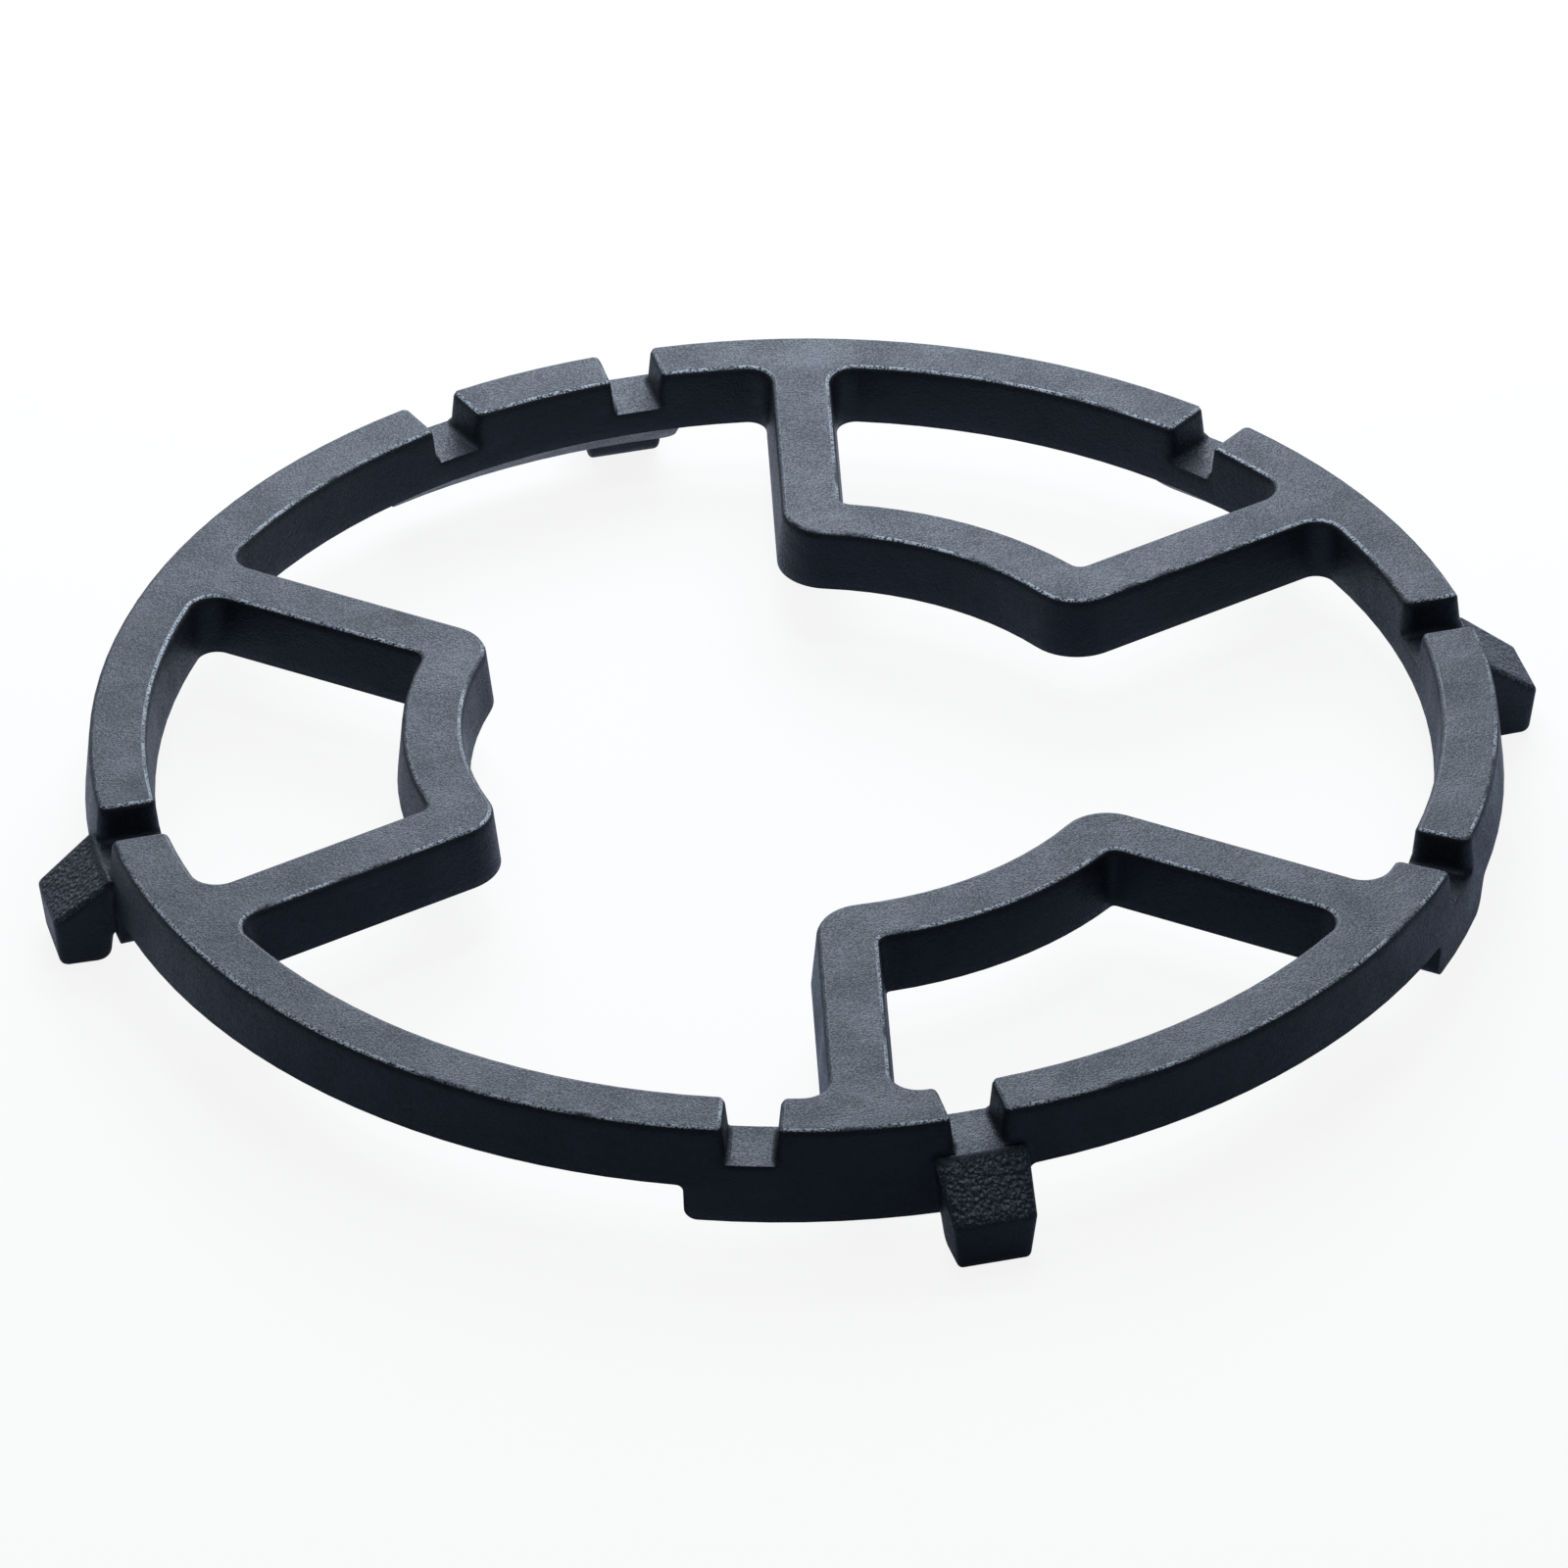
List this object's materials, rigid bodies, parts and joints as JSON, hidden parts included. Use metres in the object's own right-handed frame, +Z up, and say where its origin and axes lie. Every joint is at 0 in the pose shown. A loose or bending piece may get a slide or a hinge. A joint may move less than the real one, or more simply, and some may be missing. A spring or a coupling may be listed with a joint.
{
  "type": "hob pan support",
  "caption": "Flat cast-iron ring with inward loops for small pans, notches across its rim to sit over a gas hob's fingers, and outward lugs to centre it.",
  "frame": {"origin": "under the ring's centre, on the plane of the four lug feet", "axes": "+Z up out of the notched face; the notch that both finger patterns share is at -X"},
  "size_m": [0.257, 0.257, 0.0231],
  "materials": {
    "cast_iron": "matt black, fine as-cast grain"
  },
  "bodies": {
    "root": {"pan_support": "cast_iron"}
  },
  "joints": []
}
